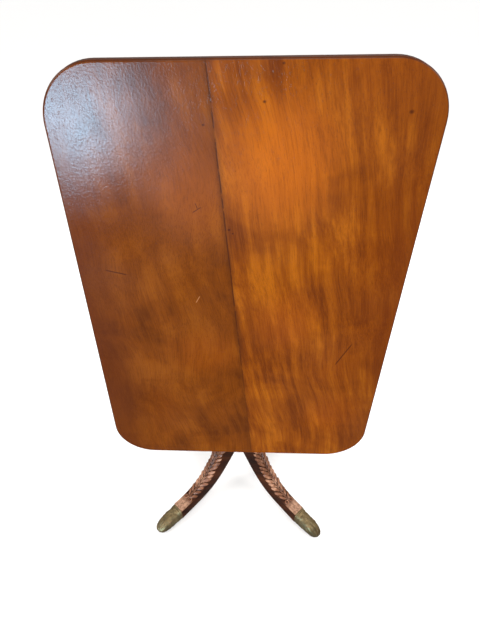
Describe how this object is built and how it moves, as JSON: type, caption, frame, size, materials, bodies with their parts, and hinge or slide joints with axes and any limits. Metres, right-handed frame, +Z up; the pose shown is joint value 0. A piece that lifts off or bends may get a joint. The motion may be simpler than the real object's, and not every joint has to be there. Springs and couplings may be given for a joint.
{
  "type": "tilt top table",
  "caption": "Pedestal table whose rectangular wooden top tips upright on a pivot block, with a turned column and carved sabre legs in brass toe caps.",
  "frame": {"origin": "on the floor under the column's axis, which is also the middle of the four feet", "axes": "+Z up; the front is -Y, where the polished face of the upright top looks; +X is to the right seen from the front"},
  "size_m": [0.677, 0.5078, 1.2493],
  "materials": {
    "top_wood_left": "polished, cloudy figure",
    "top_wood_right": "polished, straight grain",
    "frame_wood": "rubbed",
    "leg_wood": "carved and polished",
    "pin_wood": "worn",
    "old_brass": "tarnished",
    "catch_brass": "dull",
    "black_iron": "blackened",
    "spring_steel": "dull"
  },
  "bodies": {
    "top": {"top_board_left": "top_wood_left", "top_board_right": "top_wood_right", "bearer_left": "frame_wood", "bearer_right": "frame_wood", "bearer_screws": "black_iron", "catch_case": "catch_brass", "catch_screws": "catch_brass", "catch_spring": "spring_steel"},
    "bolt": {"catch_bolt": "catch_brass", "catch_knob": "catch_brass"},
    "base": {"tilt_block": "frame_wood", "pivot_pin_left": "pin_wood", "pivot_pin_right": "pin_wood", "catch_keeper": "catch_brass", "keeper_screws": "catch_brass", "column": "frame_wood", "tenon_wedge": "frame_wood", "leg_front_left": "leg_wood", "leg_front_right": "leg_wood", "leg_back_left": "leg_wood", "leg_back_right": "leg_wood", "toe_cap_front_left": "old_brass", "toe_cap_front_right": "old_brass", "toe_cap_back_left": "old_brass", "toe_cap_back_right": "old_brass", "toe_cap_screws": "catch_brass", "brace_plate": "black_iron", "brace_screws": "black_iron"}
  },
  "joints": [
    {"name": "top_tilt", "type": "hinge", "parent": "base", "child": "top", "pos_m": [0, -0.0833, 0.666], "axis": [-1, 0, 0], "range_deg": [0, 90]},
    {"name": "catch_slide", "type": "slide", "parent": "top", "child": "bolt", "axis": [0, 0, 1], "range_m": [0, 0.007], "stiffness_N_per_m": 300, "springref_m": -0.01, "deforming": ["catch_spring"]}
  ]
}
